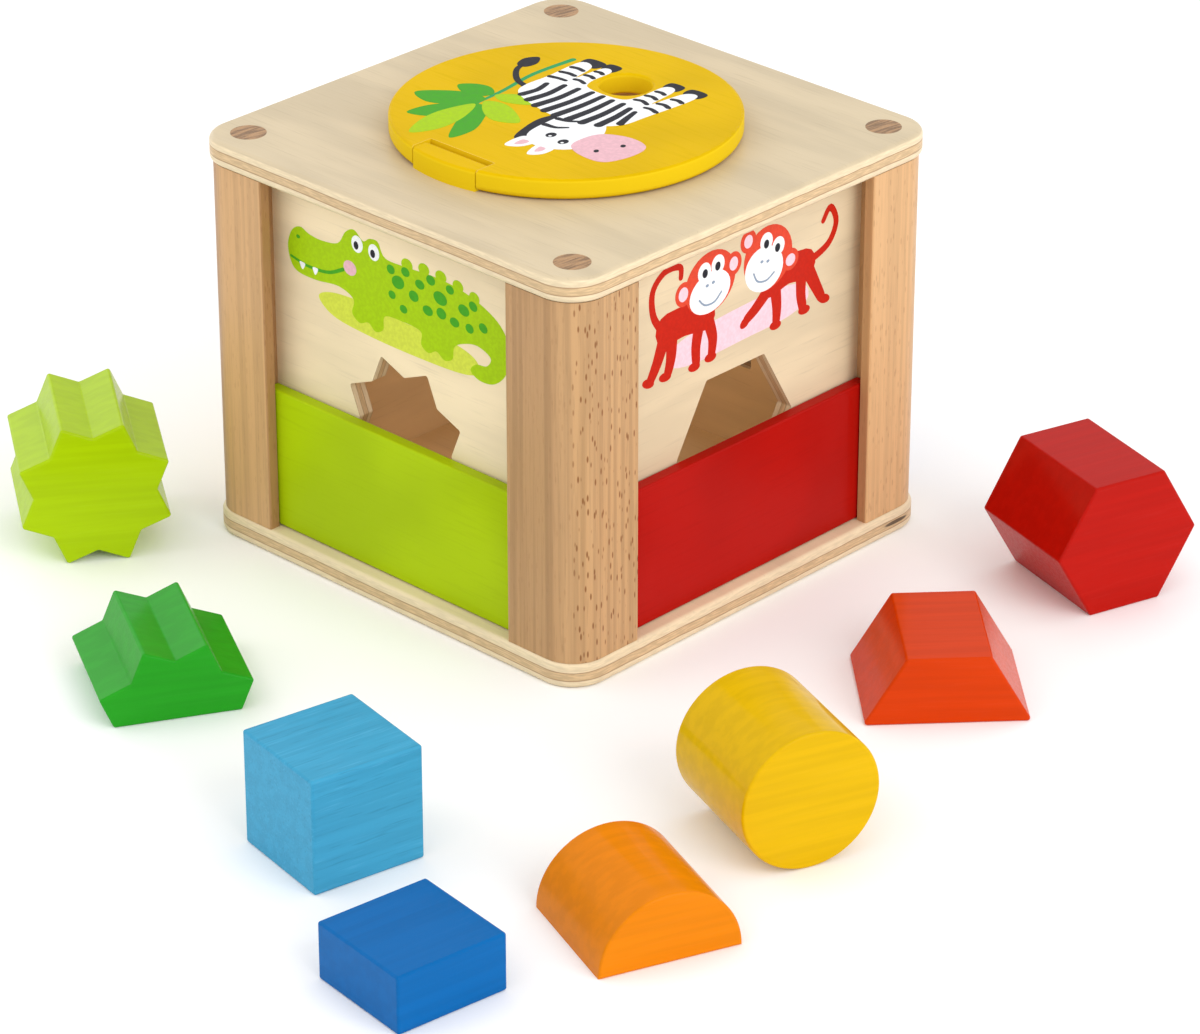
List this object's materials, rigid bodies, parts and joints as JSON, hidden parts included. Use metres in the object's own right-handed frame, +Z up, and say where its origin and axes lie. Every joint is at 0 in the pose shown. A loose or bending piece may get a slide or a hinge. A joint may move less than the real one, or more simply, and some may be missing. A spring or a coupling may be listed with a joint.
{
  "type": "shape sorter",
  "caption": "Cubic wooden shape sorter box with sliding half doors, a hinged round lid with a finger hole, and loose whole and half shape blocks.",
  "frame": {"origin": "middle of the box's underside, on the floor", "axes": "+Z up; -Y towards the wall with the star hole and green door; +X towards the wall with the hexagon hole and red door"},
  "size_m": [0.3827, 0.3986, 0.1577],
  "materials": {
    "birch_plywood": "clear lacquer",
    "beech": "clear lacquer",
    "dowel_beech": "end grain",
    "yellow_lacquer": "satin lacquer",
    "green_lacquer": "satin lacquer",
    "red_lacquer": "satin lacquer",
    "blue_lacquer": "satin lacquer",
    "light_green_stain": "satin stain",
    "green_stain": "satin stain",
    "light_blue_stain": "satin stain",
    "blue_stain": "satin stain",
    "yellow_stain": "satin stain",
    "orange_stain": "satin stain",
    "red_stain": "satin stain",
    "orange_red_stain": "satin stain"
  },
  "bodies": {
    "box": {"bottom_board": "birch_plywood", "top_board": "birch_plywood", "post_front": "beech", "post_right": "beech", "post_back": "beech", "post_left": "beech", "top_dowels": "dowel_beech", "bottom_dowels": "dowel_beech", "wall_star": "birch_plywood", "wall_hexagon": "birch_plywood", "wall_square": "birch_plywood", "wall_round": "birch_plywood", "hinge_block": "yellow_lacquer"},
    "lid": {"lid": "yellow_lacquer", "hinge_pin": "yellow_lacquer"},
    "door_green": {"door_green": "green_lacquer"},
    "door_red": {"door_red": "red_lacquer"},
    "door_blue": {"door_blue": "blue_lacquer"},
    "door_yellow": {"door_yellow": "yellow_lacquer"},
    "block_star": {"block_star": "light_green_stain"},
    "block_half_star": {"block_half_star": "green_stain"},
    "block_cube": {"block_cube": "light_blue_stain"},
    "block_half_cube": {"block_half_cube": "blue_stain"},
    "block_cylinder": {"block_cylinder": "yellow_stain"},
    "block_half_cylinder": {"block_half_cylinder": "orange_stain"},
    "block_hexagon": {"block_hexagon": "red_stain"},
    "block_half_hexagon": {"block_half_hexagon": "orange_red_stain"}
  },
  "joints": [
    {"name": "lid_hinge", "type": "hinge", "parent": "box", "child": "lid", "pos_m": [0, -0.056, 0.1542], "axis": [1, 0, 0], "range_deg": [0, 180]},
    {"name": "door_green_slide", "type": "slide", "parent": "box", "child": "door_green", "axis": [0, 0, 1], "range_m": [0, 0.0792]},
    {"name": "door_red_slide", "type": "slide", "parent": "box", "child": "door_red", "axis": [0, 0, 1], "range_m": [0, 0.0792]},
    {"name": "door_blue_slide", "type": "slide", "parent": "box", "child": "door_blue", "axis": [0, 0, 1], "range_m": [0, 0.0792]},
    {"name": "door_yellow_slide", "type": "slide", "parent": "box", "child": "door_yellow", "axis": [0, 0, 1], "range_m": [0, 0.0792]},
    {"name": "block_star_lift", "type": "slide", "parent": "box", "child": "block_star", "axis": [0, 0, 1], "range_m": [0, 0.25]},
    {"name": "block_half_star_lift", "type": "slide", "parent": "box", "child": "block_half_star", "axis": [0, 0, 1], "range_m": [0, 0.25]},
    {"name": "block_cube_lift", "type": "slide", "parent": "box", "child": "block_cube", "axis": [0, 0, 1], "range_m": [0, 0.25]},
    {"name": "block_half_cube_lift", "type": "slide", "parent": "box", "child": "block_half_cube", "axis": [0, 0, 1], "range_m": [0, 0.25]},
    {"name": "block_cylinder_lift", "type": "slide", "parent": "box", "child": "block_cylinder", "axis": [0, 0, 1], "range_m": [0, 0.25]},
    {"name": "block_half_cylinder_lift", "type": "slide", "parent": "box", "child": "block_half_cylinder", "axis": [0, 0, 1], "range_m": [0, 0.25]},
    {"name": "block_hexagon_lift", "type": "slide", "parent": "box", "child": "block_hexagon", "axis": [0, 0, 1], "range_m": [0, 0.25]},
    {"name": "block_half_hexagon_lift", "type": "slide", "parent": "box", "child": "block_half_hexagon", "axis": [0, 0, 1], "range_m": [0, 0.25]}
  ]
}
